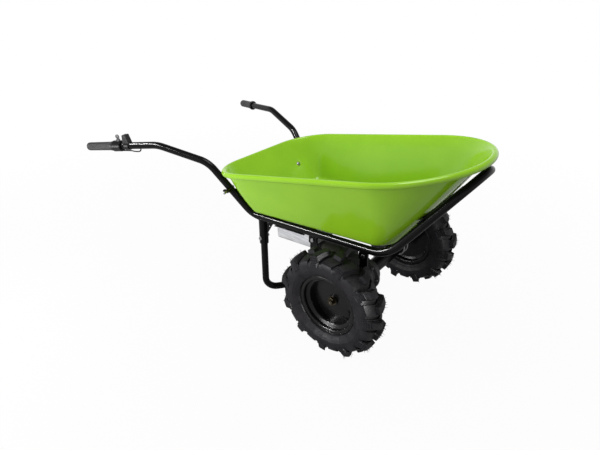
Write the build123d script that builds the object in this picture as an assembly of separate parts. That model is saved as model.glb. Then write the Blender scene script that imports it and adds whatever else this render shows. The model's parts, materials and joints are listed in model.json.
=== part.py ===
from build123d import *
from math import asin, atan2, cos, degrees, radians, sin, tan
import os

# Electric garden cart: a pressed tray on a bent tube frame, a pair of driven wheels on a
# transaxle, a tube stand behind them and two long handles with the controls on the right one.
# Millimetres and degrees. +X points to the nose, +Y to the user's left and +Z up.
# Lengths along X are measured from the axle. The finished cart is then moved so that the
# origin lies on the ground under the middle of its box.

# Wheels: a 4.80/4.00-8 tractor tyre on a pressed rim
tyre_d = 400.0
tyre_w = 100.0
tyre_wall = 9.0
lug_count = 11
lug_height = 13.0
lug_width = 27.0
lug_sweep = 36.0
lug_draft = 9.0
side_tuck = 2.0
shoulder_tuck = 5.0
rim_seat_d = 203.0
rim_flange_h = 12.5
rim_width = 58.0
rim_well_depth = 14.0
rim_sheet = 3.0
rim_bend_r = 4.0
tyre_gap = 0.2
disc_inset = 11.5
wheel_out = 84.5
valve_d = 9.0
valve_length = 24.0
valve_angle = -32.0
valve_lean = 24.0

# Axle and drive
shaft_d = 20.0
running_gap = 0.05
hub_boss_d = 39.0
hub_boss_length = 48.0
hub_boss_proud = 3.5
hub_flange_d = 84.0
hub_flange_t = 6.0
wheel_nut_af = 24.0
wheel_nut_h = 15.0
nut_flange_t = 3.0
axle_tube_d = 56.0
axle_tube_wall = 4.0
axle_tube_out = 18.5
bearing_w = 12.0
seal_w = 7.0
housing_r = 50.0
housing_w = 80.0
housing_mid_y = -72.0
housing_round = 12.0
housing_flange_t = 10.0
housing_bolt_count = 5
housing_bolt_step = 50.0
axle_flange_d = 74.0
axle_flange_t = 8.0
shaft_grip = 25.0
shaft_end_gap = 1.0
motor_r = 42.0
motor_length = 104.0
motor_rise = 8.0
motor_neck_r = 36.0
motor_face_x = -76.0
motor_flange_t = 7.0
end_cap_step = 4.0
end_cap_length = 38.0
end_cap_round = 8.0

# Frame tubes
tube_d = 28.0
tube_wall = 2.0
rail_half = 196.5
rail_rear_x = -452.0
rail_rear_z = 353.0
rail_front_x = 147.0
rail_front_z = 407.0
splay = 20.0
handle_low_run = 178.0
handle_low_z = 548.0
handle_high_run = 399.0
handle_high_z = 592.0
grip_end_run = 748.0
grip_end_z = 545.0
bend_rear = 75.0
bend_front = 110.0
bend_low = 110.0
bend_high = 150.0
hoop_slope = 54.5
hoop_taper = 19.5
hoop_radius = 110.0
hoop_straight = 20.0
joint_run = 165.0
spigot_length = 62.0
spigot_gap = 0.1
wing_nut_h = 16.0
handle_bolt_proud = 38.0
wing_span = 34.0
cross_bar_w = 30.0
cross_bar_t = 3.0
rear_bar_run = 104.0
front_bar_run = 150.0

# Tray
tray_sheet = 2.0
seat_gap = 0.3
floor_out = 11.5
floor_corner_r = 50.0
floor_nose_r = 212.0
floor_fillet = 34.0
rim_height = 629.0
rim_tilt = 11.3
rim_half = 290.0
rim_corner_r = 137.0
rim_nose_r = 272.0
bead_r = 11.0
tray_bolt_in = 44.5

# Stand
stand_x = -402.0
stand_in = 6.5
stand_bend = 50.0
stand_reach = 62.0
stand_step = 82.0
sleeve_wall = 4.0
sleeve_gap = 0.1
sleeve_bottom_z = 240.0
stand_bolt_z = 266.0
brace_w = 22.0
brace_t = 4.0
brace_low_z = 272.0
brace_hole_d = 8.0
weld_gap = 0.05

# Battery pan under the rails
pan_rear_x = -343.0
pan_front_x = -172.0
pan_in = 16.5
pan_depth = 64.0
pan_sheet = 2.0
pan_corner_r = 5.0
pan_flange = 31.0
pan_flange_inset = 14.0
pan_bolt_inset = 24.0
battery_l = 151.0
battery_w = 94.0
battery_h = 56.0
battery_space = 5.0
terminal_d = 10.0
terminal_h = 3.0
controller_l = 120.0
controller_w = 80.0
controller_h = 42.0
fin_count = 7
socket_d = 24.0
socket_t = 4.0

# Axle hangers
hanger_rear_x = -150.0
hanger_front_x = 62.0
hanger_bar_w = 30.0
hanger_t = 6.0
hanger_round = 12.0
lug_plate_w = 34.0
lug_plate_drop = 44.0
hanger_bolt_drop = 29.0
saddle_l = 84.0
saddle_w = 46.0
u_bolt_d = 8.0
u_bolt_spread = 13.5

# Grips and controls, measured along the right handle from the grip's end
grip_length = 137.0
grip_r = 17.5
grip_round = 5.0
grip_end_wall = 6.0
grip_flange_r = 22.0
grip_flange_t = 7.0
throttle_tube_wall = 1.4
throttle_overlap = 12.0
throttle_gap = 0.5
throttle_housing_r = 22.5
throttle_housing_l = 42.0
throttle_round = 4.0
end_gap = 1.0
key_s = 166.0
lock_r = 8.0
lock_floor = 1.5
lock_proud = 6.5
key_bow_r = 9.0
key_bow_hole_r = 3.0
key_t = 2.6
key_blade_w = 7.0
key_gap = 0.4
switch_start = 191.0
switch_end = 224.0
switch_base = 5.0
switch_top = 47.0
switch_slope = 8.0
switch_half = 11.5
switch_round = 3.0
clamp_w = 20.0
clamp_t = 3.0
rocker_l = 22.0
rocker_w = 14.0
rocker_t = 4.0
rocker_peak = 3.0
rocker_gap = 1.3
rocker_pocket = 8.0
cable_d = 5.0
cable_entry_s = 266.0
cable_bend = 9.0

# Fasteners
m6 = 6.0
m8 = 8.0
hole_gap = 0.1

# Shares of a bolt's diameter
hex_share = 1.6
head_share = 0.65
nut_share = 0.8

# Sizes that follow from the ones above
tube_r = tube_d / 2
axle_z = tyre_d / 2
axle_tube_r = axle_tube_d / 2
axle_tube_end = rail_half + axle_tube_out
wheel_y = rail_half + wheel_out
floor_half = rail_half + floor_out
tray_bolt_y = rail_half - tray_bolt_in
stand_half = rail_half - stand_in
pan_half = rail_half - pan_in
shaft_r = shaft_d / 2
rim_flange_d = rim_seat_d + 2 * rim_flange_h
rim_well_d = rim_seat_d - 2 * rim_well_depth
end_cap_r = motor_r - end_cap_step
lock_bottom = tube_r + lock_floor
lock_top = throttle_housing_r + lock_proud
sleeve_r = tube_r + sleeve_gap + sleeve_wall
rail_slope = degrees(atan2(rail_front_z - rail_rear_z, rail_front_x - rail_rear_x))
wall_offset = tube_r + cross_bar_t + seat_gap


def rail_z(x):
    """Height of a rail's axis at a place along the cart."""
    return rail_rear_z + (x - rail_rear_x) * tan(radians(rail_slope))


def slope_plane(x, z, angle):
    """A plane across the cart whose local X climbs forward at an angle."""
    a = radians(angle)
    return Plane((x, 0, z), x_dir=(cos(a), 0, sin(a)), z_dir=(-sin(a), 0, cos(a)))


def mirrored(shape):
    return mirror(shape, about=Plane.XZ)


def both_sides(shape):
    return shape + mirrored(shape)


def on_axis(point, direction, shape):
    return Plane(point, z_dir=direction) * shape


def along_y(x, y, z, shape):
    """Stands a shape made along +Z on a point, pointing to +Y."""
    return Pos(x, y, z) * Rot(-90, 0, 0) * shape


def pin(d, length):
    return Cylinder(d / 2, length, align=(Align.CENTER, Align.CENTER, Align.MIN))


def hole(d, length):
    """A cutter for a bolt hole, both ways from Z = 0."""
    return Cylinder(d / 2 + hole_gap, 2 * length)


def hexagon(across_flats, height):
    return extrude(RegularPolygon(across_flats / 2, 6, major_radius=False), height)


def hex_bolt(d, length):
    """A hexagon bolt with its shank along +Z from the head's seat at Z = 0."""
    head_h = head_share * d
    return Pos(0, 0, -head_h) * hexagon(hex_share * d, head_h) + pin(d, length)


def hex_nut(d):
    """A nut that stands on Z = 0."""
    height = nut_share * d
    return hexagon(hex_share * d, height) - hole(d, height)


def carriage_bolt(d, length):
    """A mushroom-headed bolt with its shank along -Z from the head's seat at Z = 0."""
    dome = Pos(0, 0, -d) * Sphere(hex_share * d)
    dome &= pin(4 * d, d)
    return dome + Pos(0, 0, -length) * pin(d, length)


def bent_bar(points, radii, section):
    path = FilletPolyline(*points, radius=radii)
    return sweep(Plane(path @ 0, z_dir=path % 0) * section, path=path)


def bent_tube(points, radii):
    return bent_bar(points, radii, Circle(tube_r) - Circle(tube_r - tube_wall))


# Frame: a rail tube each side, a hoop that closes the nose, and handles that plug into the rails

def handle_point(run, z):
    """A point in the upright plane of the left handle, at a run behind the rail's rear bend."""
    a = radians(splay)
    return Vector(rail_rear_x - run * cos(a), rail_half + run * sin(a), z)


rail_rear = Vector(rail_rear_x, rail_half, rail_rear_z)
rail_front = Vector(rail_front_x, rail_half, rail_front_z)
handle_low = handle_point(handle_low_run, handle_low_z)
handle_high = handle_point(handle_high_run, handle_high_z)
grip_end = handle_point(grip_end_run, grip_end_z)
upsweep = (handle_low - rail_rear).normalized()
upsweep_slope = degrees(atan2(handle_low.Z - rail_rear.Z, handle_low.X - rail_rear.X))
upsweep_spread = (handle_low.Y - rail_rear.Y) / Vector(upsweep.X, 0, upsweep.Z).length
upsweep_spread /= (handle_low - rail_rear).length
joint = rail_rear + upsweep * joint_run
handle_out = Vector(sin(radians(splay)), cos(radians(splay)), 0)
handle_bolt_at = joint - upsweep * spigot_length / 2

hoop_plane = slope_plane(rail_front_x, rail_front_z, hoop_slope)
hoop_meet = rail_half / tan(radians(hoop_taper))
hoop_tangent = hoop_meet - hoop_radius * cos(radians(hoop_taper)) / tan(radians(hoop_taper))
hoop_joint = hoop_tangent - hoop_straight


def hoop_half(u):
    """Half the distance between the hoop's legs, u up the slope from the rail's front bend."""
    return rail_half - u * tan(radians(hoop_taper))


def hoop_point(u):
    return hoop_plane.from_local_coords(Vector(u, hoop_half(u), 0))


def rail_cutter(x, radius, length):
    """A bar along the straight of the left rail, centred at a place along the cart."""
    at = slope_plane(x, rail_z(x), rail_slope) * Pos(0, rail_half, 0)
    return at * Rot(0, 90, 0) * Cylinder(radius, length)


def hanger_lug(x):
    """The plate welded under the rail that a hanger leg bolts to."""
    middle = rail_z(x) - lug_plate_drop / 2
    plate = Pos(x, rail_half, middle) * Box(lug_plate_w, hanger_t, lug_plate_drop)
    plate -= rail_cutter(x, tube_r - tube_wall / 2, 3 * lug_plate_w)
    return plate - along_y(x, rail_half, rail_z(x) - hanger_bolt_drop, hole(m8, hanger_t))


def handle_bolt_hole():
    return on_axis(handle_bolt_at, handle_out, hole(m8, tube_d))


def frame_rail():
    points = [joint, rail_rear, rail_front, hoop_point(hoop_joint)]
    rail = bent_tube(points, [bend_rear, bend_front])
    for x in (hanger_rear_x, hanger_front_x):
        rail += hanger_lug(x)
    for x in pan_bolt_places:
        rail -= pan_bolt_axis(x) * hole(m6, pan_sheet + 2 * tube_wall)
    return rail - handle_bolt_hole()


def front_hoop():
    left = hoop_point(hoop_joint)
    right = Vector(left.X, -left.Y, left.Z)
    tip = hoop_plane.from_local_coords(Vector(hoop_meet, 0, 0))
    return bent_tube([left, tip, right], [hoop_radius])


def handle_tube():
    """A handle with a necked end that slides into the rail tube."""
    last = handle_frame.from_local_coords(Vector(grip_end_wall + end_gap, 0, 0))
    tube = bent_tube([joint, handle_low, handle_high, last], [bend_low, bend_high])
    neck_r = tube_r - tube_wall - spigot_gap
    neck = Pos(0, 0, -spigot_length) * pin(2 * neck_r, spigot_length) + pin(tube_d, 2 * tube_wall)
    neck -= Pos(0, 0, -spigot_length) * pin(2 * (neck_r - tube_wall), spigot_length + 2 * tube_wall)
    tube += on_axis(joint, upsweep, neck)
    return tube - handle_bolt_hole()


def handle_right():
    return mirrored(handle_tube() - cable_entry())


def handle_bolt():
    seat = handle_bolt_at - handle_out * tube_r
    return on_axis(seat, handle_out, hex_bolt(m8, tube_d + handle_bolt_proud))


def wing_nut():
    boss = pin(2 * m8, wing_nut_h)
    wings = Pos(0, 0, wing_nut_h * 0.75) * Box(wing_span, m8 / 2, wing_nut_h)
    wings = fillet(wings.edges().filter_by(Axis.Y), m8 / 2)
    nut = boss + wings - hole(m8, 2 * wing_nut_h)
    return on_axis(handle_bolt_at + handle_out * tube_r, handle_out, nut)


def rear_cross_bar():
    """The flat bar across the upsweeps that the tray's rear wall is bolted to."""
    half = rail_half + rear_bar_run * upsweep_spread + tube_r / 2
    bar = Box(cross_bar_w, 2 * half, cross_bar_t)
    bar = rear_plane * Pos(rear_bar_run, 0, -tube_r - cross_bar_t / 2) * bar
    for side in (-1, 1):
        bar -= rear_bolt_axis(side) * hole(m8, 2 * wall_offset)
    return bar


def front_cross_bar():
    half = hoop_half(front_bar_run) + tube_r / 2
    bar = Box(cross_bar_w, 2 * half, cross_bar_t)
    bar = hoop_plane * Pos(front_bar_run, 0, tube_r + cross_bar_t / 2) * bar
    return bar - front_bolt_axis() * hole(m8, 2 * wall_offset)


# Tray: its rear wall lies along the upsweeps, its nose along the hoop, its floor along the rails

rear_plane = slope_plane(rail_rear_x, rail_rear_z, upsweep_slope)
floor_plane = slope_plane(rail_rear_x, rail_rear_z, rail_slope).offset(tube_r + seat_gap)
rim_plane = slope_plane(0, rim_height, rim_tilt)
side_flare = (rim_half - floor_half) / (rim_height - rail_front_z)
wall_inset = 1.2 * tray_sheet
bolt_seat = 1.2 * tray_sheet


def plane_cut(plane, point, normal):
    """Local X at which a sloping plane meets the cross plane through a point."""
    return (point - plane.origin).dot(normal) / plane.x_dir.dot(normal)


def rear_edge(plane):
    return plane_cut(plane, rear_plane.offset(-wall_offset).origin, rear_plane.z_dir)


def nose_edge(plane):
    return plane_cut(plane, hoop_plane.offset(wall_offset).origin, hoop_plane.z_dir)


def flip(point):
    return Vector(point.X, -point.Y)


def tray_outline(rear, nose, half, corner_r, nose_r):
    """Three circles, one at the nose and two behind, joined by their outer tangents."""
    nose_c = Vector(nose - nose_r, 0)
    corner_c = Vector(rear + corner_r, half - corner_r)
    along = nose_c - corner_c
    lean = asin((corner_r - nose_r) / along.length)
    side_angle = atan2(along.X, -along.Y) - lean
    back_angle = (side_angle + radians(180)) / 2
    side = Vector(cos(side_angle), sin(side_angle))
    back = Vector(cos(back_angle), sin(back_angle))
    front_end = nose_c + side * nose_r
    rear_end = corner_c + side * corner_r
    corner_mid = corner_c + back * corner_r
    wall_end = Vector(rear, corner_c.Y)
    return Wire([
        ThreePointArc(flip(front_end), Vector(nose, 0), front_end),
        Line(front_end, rear_end),
        ThreePointArc(rear_end, corner_mid, wall_end),
        Line(wall_end, flip(wall_end)),
        ThreePointArc(flip(wall_end), flip(corner_mid), flip(rear_end)),
        Line(flip(rear_end), flip(front_end)),
    ])


def floor_face(inset, lift):
    plane = floor_plane.offset(lift)
    narrow = inset - lift * side_flare
    wire = tray_outline(rear_edge(plane) + inset, nose_edge(plane) - inset,
                        floor_half - narrow, floor_corner_r - narrow, floor_nose_r - narrow)
    return plane * make_face(wire)


def rim_wire(inset):
    return tray_outline(rear_edge(rim_plane) + inset, nose_edge(rim_plane) - inset,
                        rim_half - inset, rim_corner_r - inset, rim_nose_r - inset)


def tray_bowl(inset, lift, radius):
    """The solid between the floor and the rim, rounded along the floor's edge."""
    bowl = loft([floor_face(inset, lift), rim_plane * make_face(rim_wire(inset))], ruled=True)
    floor = bowl.faces().sort_by(Axis.Z)[0]
    return fillet(floor.edges(), radius)


def rim_bead():
    """The rim rolled outward and down into a half-round bead."""
    path = rim_plane * rim_wire(-bead_r + tray_sheet / 2)
    frame = Plane(path @ 0, x_dir=(path % 0).cross(rim_plane.z_dir), z_dir=path % 0)
    ring = Circle(bead_r) - Circle(bead_r - tray_sheet)
    upper = frame.to_local_coords(Vector(path @ 0) + rim_plane.z_dir).Y
    ring -= Pos(0, -upper * bead_r) * Rectangle(4 * bead_r, 2 * bead_r)
    return sweep(frame * ring, path=path)


def rear_bolt_axis(side):
    """Where a tray bolt's head seats inside the rear wall, with +Z into the tray."""
    at = Vector(rear_bar_run, side * tray_bolt_y, -wall_offset - bolt_seat)
    return Plane(rear_plane.from_local_coords(at), z_dir=rear_plane.z_dir * -1)


def front_bolt_axis():
    at = Vector(front_bar_run, 0, wall_offset + bolt_seat)
    return Plane(hoop_plane.from_local_coords(at), z_dir=hoop_plane.z_dir)


def tray_bolt_axes():
    return [rear_bolt_axis(-1), rear_bolt_axis(1), front_bolt_axis()]


def tray():
    shell = tray_bowl(0, 0, floor_fillet)
    shell -= tray_bowl(wall_inset, tray_sheet, floor_fillet - tray_sheet)
    shell += rim_bead()
    for axis in tray_bolt_axes():
        shell -= axis * hole(m8, 3 * tray_sheet)
    return shell


def tray_bolts():
    length = bolt_seat + seat_gap + cross_bar_t + 1.4 * m8
    return Part() + [axis * carriage_bolt(m8, length) for axis in tray_bolt_axes()]


def tray_nuts():
    drop = bolt_seat + seat_gap + cross_bar_t
    nut = Pos(0, 0, -drop) * Rot(180, 0, 0) * hex_nut(m8)
    return Part() + [axis * nut for axis in tray_bolt_axes()]


# Stand: a tube hoop in two sleeves welded under the rails

def stand_hoop():
    """Upright legs whose feet turn forward and inward to a bar across the ground."""
    top = rail_z(stand_x) - 2 * tube_r
    foot = tube_r
    leg = [(stand_x, stand_half, top), (stand_x, stand_half, foot),
           (stand_x + stand_reach, stand_half - stand_step, foot)]
    points = leg + [(x, -y, z) for x, y, z in reversed(leg)]
    hoop = bent_tube(points, [stand_bend] * 4)
    return hoop - along_y(stand_x, 0, stand_bolt_z, hole(m8, 2 * stand_half))


def stand_sleeve():
    length = rail_z(stand_x) - sleeve_bottom_z
    sleeve = pin(2 * sleeve_r, length) - pin(2 * (sleeve_r - sleeve_wall), length)
    sleeve = Pos(stand_x, stand_half, sleeve_bottom_z) * sleeve
    sleeve -= rail_cutter(stand_x, tube_r + weld_gap, 6 * sleeve_r)
    return sleeve - along_y(stand_x, stand_half, stand_bolt_z, hole(m8, 2 * sleeve_r))


def stand_brace():
    """A strap from the sleeve's front up to the rail, with a hole through it."""
    low_x = stand_x
    low_z = brace_low_z - sleeve_r
    high_x = stand_x + sleeve_r + brace_w
    high_z = rail_z(high_x)
    outline = Polyline((low_x, low_z), (high_x + brace_w, high_z), (high_x, high_z),
                       (low_x, low_z + 1.6 * brace_w), close=True)
    strap = extrude(Plane.XZ * make_face(outline), brace_t / 2, both=True)
    strap = Pos(0, stand_half, 0) * strap
    strap -= rail_cutter(stand_x, tube_r + weld_gap, 12 * sleeve_r)
    strap -= Pos(stand_x, stand_half, 0) * pin(2 * (sleeve_r + weld_gap), 2 * rail_rear_z)
    strap = strap.solids().sort_by(SortBy.VOLUME)[-1]
    middle = strap.center()
    return strap - along_y(middle.X, stand_half, middle.Z, Cylinder(brace_hole_d / 2, 3 * brace_t))


def stand_bolt():
    seat = stand_half + sleeve_r
    length = 2 * sleeve_r + m8
    return Pos(stand_x, seat, stand_bolt_z) * Rot(90, 0, 0) * hex_bolt(m8, length)


def stand_nut():
    return Pos(stand_x, stand_half - sleeve_r, stand_bolt_z) * Rot(90, 0, 0) * hex_nut(m8)


# Battery pan: a folded sheet tray hung under the rails by its flanges

pan_mid_x = (pan_rear_x + pan_front_x) / 2
pan_length = (pan_front_x - pan_rear_x) / cos(radians(rail_slope))
pan_frame = slope_plane(pan_mid_x, rail_z(pan_mid_x), rail_slope).offset(-tube_r - seat_gap)
pan_bolt_places = [pan_bolt_inset - pan_length / 2, pan_length / 2 - pan_bolt_inset]
pan_inside_z = pan_sheet - pan_depth


def pan_bolt_axis(x):
    return pan_frame * Pos(x, rail_half, -pan_sheet)


def battery_pan():
    box = Pos(0, 0, -pan_depth / 2) * Box(pan_length, 2 * pan_half, pan_depth)
    box = fillet(box.edges().filter_by(Axis.Z) + box.faces().sort_by(Axis.Z)[0].edges(), pan_corner_r)
    inside = Pos(0, 0, pan_inside_z / 2)
    inside *= Box(pan_length - 2 * pan_sheet, 2 * (pan_half - pan_sheet), -pan_inside_z)
    low_edges = inside.edges().filter_by(Axis.Z) + inside.faces().sort_by(Axis.Z)[0].edges()
    pan = box - fillet(low_edges, pan_corner_r - pan_sheet)
    flange = Pos(0, pan_half + pan_flange / 2 - pan_sheet, -pan_sheet / 2)
    flange *= Box(pan_length - 2 * pan_flange_inset, pan_flange, pan_sheet)
    pan += both_sides(flange)
    for x in pan_bolt_places:
        pan -= both_sides(Pos(x, rail_half, 0) * hole(m6, 2 * pan_sheet))
    pan -= Pos(-pan_length / 2, 0, pan_inside_z / 2) * Rot(0, 90, 0) * hole(socket_d, 2 * pan_sheet)
    return pan_frame * pan


def pan_bolts():
    group = Part()
    for x in pan_bolt_places:
        group += pan_bolt_axis(x) * hex_bolt(m6, pan_sheet + seat_gap + 2 * tube_wall)
    return both_sides(group)


def batteries():
    case = Box(battery_l, battery_w, battery_h, align=(Align.CENTER, Align.CENTER, Align.MIN))
    case = fillet(case.edges().filter_by(Axis.Z), terminal_h)
    for side in (-1, 1):
        x = side * (battery_l / 2 - 1.5 * terminal_d)
        case += Pos(x, battery_w / 2 - 1.5 * terminal_d, battery_h) * pin(terminal_d, terminal_h)
    y = controller_w / 2 + battery_space + battery_w / 2
    return pan_frame * both_sides(Pos(0, y, pan_inside_z) * case)


def controller():
    """The motor controller: a plate with cooling fins along its top."""
    base_h = controller_h / 2
    base = Pos(0, 0, base_h / 2) * Box(controller_l, controller_w, base_h)
    pitch = controller_w / fin_count
    fin = Box(controller_l, pitch / 2, controller_h, align=(Align.CENTER, Align.CENTER, Align.MIN))
    for i in range(fin_count):
        base += Pos(0, (i - (fin_count - 1) / 2) * pitch, 0) * fin
    return pan_frame * Pos(0, 0, pan_inside_z) * base


def charge_socket():
    body = Pos(0, 0, -socket_t) * pin(1.4 * socket_d, socket_t) + pin(socket_d, 3 * socket_t)
    body -= Pos(0, 0, -socket_t) * pin(0.7 * socket_d, 3 * socket_t)
    return pan_frame * Pos(-pan_length / 2, 0, pan_inside_z / 2) * Rot(0, 90, 0) * body


# Axle hangers: flat stirrups bolted to the rail lugs, with a saddle on the axle tube

hanger_y = rail_half - hanger_t
saddle_z = axle_z + axle_tube_r + seat_gap
hanger_window = (hanger_rear_x + hanger_bar_w / 2, hanger_front_x - hanger_bar_w / 2)


def hanger_top(x):
    return rail_z(x) - tube_r - end_gap


def axle_hanger():
    rear = hanger_rear_x - hanger_bar_w / 2
    front = hanger_front_x + hanger_bar_w / 2
    low = saddle_z + hanger_t
    inner_rear, inner_front = hanger_window
    outline = Polyline((rear, low), (front, low), (front, hanger_top(front)),
                       (inner_front, hanger_top(inner_front)), (inner_front, low + hanger_bar_w),
                       (inner_rear, low + hanger_bar_w), (inner_rear, hanger_top(inner_rear)),
                       (rear, hanger_top(rear)), close=True)
    plate = extrude(Plane.XZ * make_face(outline), hanger_t / 2, both=True)
    plate = fillet(plate.edges().filter_by(Axis.Y).sort_by(Axis.Z)[0:4], hanger_round)
    plate = Pos(0, hanger_y, 0) * plate
    plate += Pos(0, hanger_y, saddle_z + hanger_t / 2) * Box(saddle_l, saddle_w, hanger_t)
    for x in (hanger_rear_x, hanger_front_x):
        plate -= along_y(x, hanger_y, rail_z(x) - hanger_bolt_drop, hole(m8, hanger_t))
    for y in (hanger_y - u_bolt_spread, hanger_y + u_bolt_spread):
        for x in (-u_bolt_half, u_bolt_half):
            plate -= Pos(x, y, saddle_z) * hole(u_bolt_d, 2 * hanger_t)
    return plate


def hanger_bolts():
    group = Part()
    for x in (hanger_rear_x, hanger_front_x):
        seat = Pos(x, rail_half + hanger_t / 2, rail_z(x) - hanger_bolt_drop)
        group += seat * Rot(90, 0, 0) * hex_bolt(m8, 2 * hanger_t + 1.2 * m8)
    return both_sides(group)


def hanger_nuts():
    group = Part()
    for x in (hanger_rear_x, hanger_front_x):
        seat = Pos(x, hanger_y - hanger_t / 2, rail_z(x) - hanger_bolt_drop)
        group += seat * Rot(90, 0, 0) * hex_nut(m8)
    return both_sides(group)


u_bolt_half = axle_tube_r + seat_gap + u_bolt_d / 2


def u_bolt(y):
    top = saddle_z + hanger_t + 1.3 * u_bolt_d
    path = Wire([
        Line((-u_bolt_half, y, top), (-u_bolt_half, y, axle_z)),
        ThreePointArc((-u_bolt_half, y, axle_z), (0, y, axle_z - u_bolt_half), (u_bolt_half, y, axle_z)),
        Line((u_bolt_half, y, axle_z), (u_bolt_half, y, top)),
    ])
    return sweep(Plane(path @ 0, z_dir=path % 0) * Circle(u_bolt_d / 2), path=path)


def axle_u_bolts():
    return both_sides(u_bolt(hanger_y - u_bolt_spread) + u_bolt(hanger_y + u_bolt_spread))


def u_bolt_nuts():
    group = Part()
    for y in (hanger_y - u_bolt_spread, hanger_y + u_bolt_spread):
        for x in (-u_bolt_half, u_bolt_half):
            group += Pos(x, y, saddle_z + hanger_t) * hex_nut(u_bolt_d)
    return both_sides(group)


# Transaxle: a split gear housing with the motor behind it, and an axle tube each side

housing_left_y = housing_mid_y + housing_w / 2
housing_right_y = housing_mid_y - housing_w / 2
housing_flange_r = housing_r + 1.2 * 2 * m6
housing_bolt_r = housing_r + 1.2 * m6
motor_bolt_r = motor_r + 1.1 * m6
motor_flange_r = motor_r + 2.1 * m6


def motor_axis(x):
    """A place on the motor's axis, with +Z pointing back along it."""
    return Plane((x, housing_mid_y, axle_z + motor_rise), x_dir=(0, 1, 0), z_dir=(-1, 0, 0))


def gear_housing():
    drum = fillet(Cylinder(housing_r, housing_w).edges(), housing_round)
    drum += Cylinder(housing_flange_r, housing_flange_t)
    housing = Pos(0, housing_mid_y, axle_z) * Rot(90, 0, 0) * drum
    housing += motor_axis(0) * pin(2 * motor_neck_r, -motor_face_x)
    housing += motor_axis(motor_face_x + motor_flange_t) * pin(2 * motor_flange_r, motor_flange_t)
    bore = pin(2 * (shaft_r + running_gap), shaft_grip)
    housing -= along_y(0, housing_left_y - shaft_grip, axle_z, bore)
    housing -= along_y(0, housing_right_y, axle_z, bore)
    for angle in housing_bolt_angles():
        housing -= housing_bolt_axis(angle) * hole(m6, 2 * housing_flange_t)
    for angle in motor_bolt_angles():
        housing -= motor_bolt_axis(angle) * hole(m6, 2 * motor_flange_t)
    return housing


def housing_half(keep):
    return split(gear_housing(), bisect_by=Plane.XZ.offset(-housing_mid_y), keep=keep)


def housing_bolt_angles():
    middle = (housing_bolt_count - 1) / 2
    return [(i - middle) * housing_bolt_step for i in range(housing_bolt_count)]


def housing_bolt_axis(angle):
    turn = Pos(0, housing_mid_y - housing_flange_t / 2, axle_z) * Rot(0, -angle, 0)
    return turn * Pos(housing_bolt_r, 0, 0) * Rot(-90, 0, 0)


def housing_bolts():
    bolt = hex_bolt(m6, housing_flange_t + m6 / 2)
    return Part() + [housing_bolt_axis(angle) * bolt for angle in housing_bolt_angles()]


def motor_bolt_angles():
    return [45, 135, 225, 315]


def motor_bolt_axis(angle):
    """A motor bolt's seat on the back of the motor's flange, with +Z into the housing."""
    at = motor_axis(motor_face_x - motor_flange_t) * Rot(0, 0, angle)
    return at * Pos(motor_bolt_r, 0, 0) * Rot(180, 0, 0)


def motor():
    body = pin(2 * motor_r, motor_length) + pin(2 * motor_flange_r, motor_flange_t)
    body = motor_axis(motor_face_x) * body
    for angle in motor_bolt_angles():
        body -= motor_bolt_axis(angle) * hole(m6, 1.5 * motor_flange_t)
    return body


def motor_end_cap():
    cap = pin(2 * end_cap_r, end_cap_length)
    cap = fillet(cap.edges().sort_by(Axis.Z)[-1], end_cap_round)
    return motor_axis(motor_face_x - motor_length) * cap


def motor_bolts():
    bolt = hex_bolt(m6, 2 * motor_flange_t)
    return Part() + [motor_bolt_axis(angle) * bolt for angle in motor_bolt_angles()]


def axle_tube(start):
    """The left tube, from the housing's side at a distance from the middle out to the wheel."""
    length = axle_tube_end - start
    tube = pin(axle_tube_d, length) + pin(axle_flange_d, axle_flange_t)
    tube -= pin(axle_tube_d - 2 * axle_tube_wall, length)
    return along_y(0, start, axle_z, tube)


def axle_ring(outer_r, width, start):
    """A ring that runs on the left half shaft inside the axle tube's end."""
    return along_y(0, start, axle_z, pin(2 * outer_r, width) - pin(2 * (shaft_r + running_gap), width))


def bearings():
    return both_sides(axle_ring(axle_tube_r - axle_tube_wall, bearing_w, axle_tube_end - seal_w - bearing_w))


def seals():
    return both_sides(axle_ring(axle_tube_r - axle_tube_wall, seal_w, axle_tube_end - seal_w))


# Wheels: built about the Y axis with +Y outboard, then set on the axle

seat_r = rim_seat_d / 2 + tyre_gap
crown_r = tyre_d / 2 - lug_height
bead_y = rim_width / 2 - tyre_gap
disc_y = -disc_inset
hub_end_y = disc_y + rim_sheet / 2 + hub_boss_proud


def wheel_place(shape):
    return Pos(0, wheel_y, axle_z) * shape


def tyre_section(wall):
    """Half of the tyre's outline from above the rim to the crown, drawn in by a wall thickness."""
    side_r = (seat_r + crown_r) / 2
    shoulder_r = crown_r - lug_height - wall / 2
    foot = (rim_flange_d / 2 - tyre_gap, bead_y - wall)
    side = (side_r, tyre_w / 2 - side_tuck - wall)
    shoulder = (shoulder_r, tyre_w / 2 - shoulder_tuck - wall)
    crown = (crown_r - wall, 0)
    haunch = (crown_r - wall - lug_height / 4, tyre_w / 4)
    return [ThreePointArc(foot, side, shoulder), ThreePointArc(shoulder, haunch, crown)]


def tyre_carcass():
    outer = tyre_section(0)
    inner = tyre_section(tyre_wall)
    heel = rim_bend_r
    bead = Polyline(outer[0] @ 0, (seat_r + heel, bead_y), (seat_r, bead_y - heel),
                    (seat_r, bead_y - tyre_wall), inner[0] @ 0)
    edges = outer + inner + bead.edges() + [Line(outer[-1] @ 1, inner[-1] @ 1)]
    half = make_face(Wire(edges))
    return revolve(half + mirror(half, about=Plane.XZ), Axis.Y)


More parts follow.
